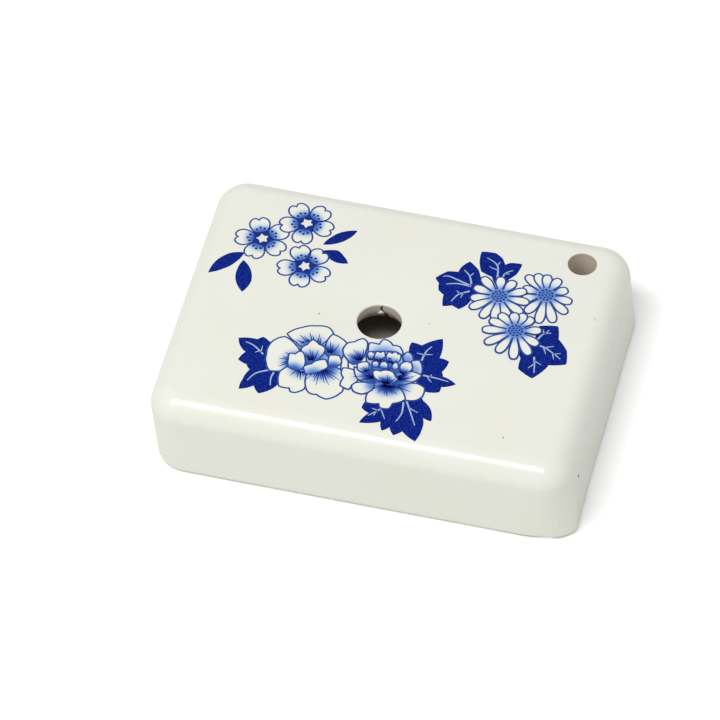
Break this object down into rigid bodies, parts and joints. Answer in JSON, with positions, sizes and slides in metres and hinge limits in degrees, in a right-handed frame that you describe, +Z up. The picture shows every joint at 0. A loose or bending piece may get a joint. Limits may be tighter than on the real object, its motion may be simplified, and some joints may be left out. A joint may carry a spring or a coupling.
{
  "type": "calligraphy water dropper",
  "caption": "Rectangular hollow porcelain block for water, with a finger hole in the roof, a corner spout hole and blue flower prints.",
  "frame": {"origin": "middle of the bounding box on the table plane", "axes": "+X to the right along the length, +Y to the rear, +Z up from the table to the printed roof"},
  "size_m": [0.081, 0.06, 0.0181],
  "materials": {
    "porcelain_body": "unglazed, fine",
    "porcelain_slip": "unglazed, rough",
    "clear_glaze": "glossy",
    "cobalt_line": "glossy, light wash with fine lines",
    "cobalt_leaf": "glossy, deep blue"
  },
  "bodies": {
    "root": {"upper_shell": "porcelain_body", "base_slab": "porcelain_body", "luting_slip": "porcelain_slip", "glaze_coat": "clear_glaze", "cherry_blossoms": "cobalt_line", "cherry_leaf_1": "cobalt_leaf", "cherry_leaf_2": "cobalt_leaf", "cherry_leaf_3": "cobalt_leaf", "cherry_leaf_4": "cobalt_leaf", "peony_blossoms": "cobalt_line", "peony_leaves_left": "cobalt_leaf", "peony_leaves_right": "cobalt_leaf", "peony_leaves_front": "cobalt_leaf", "chrysanthemum_blossoms": "cobalt_line", "chrysanthemum_leaves_left": "cobalt_leaf", "chrysanthemum_leaves_rear": "cobalt_leaf", "chrysanthemum_leaves_right": "cobalt_leaf"}
  },
  "joints": []
}
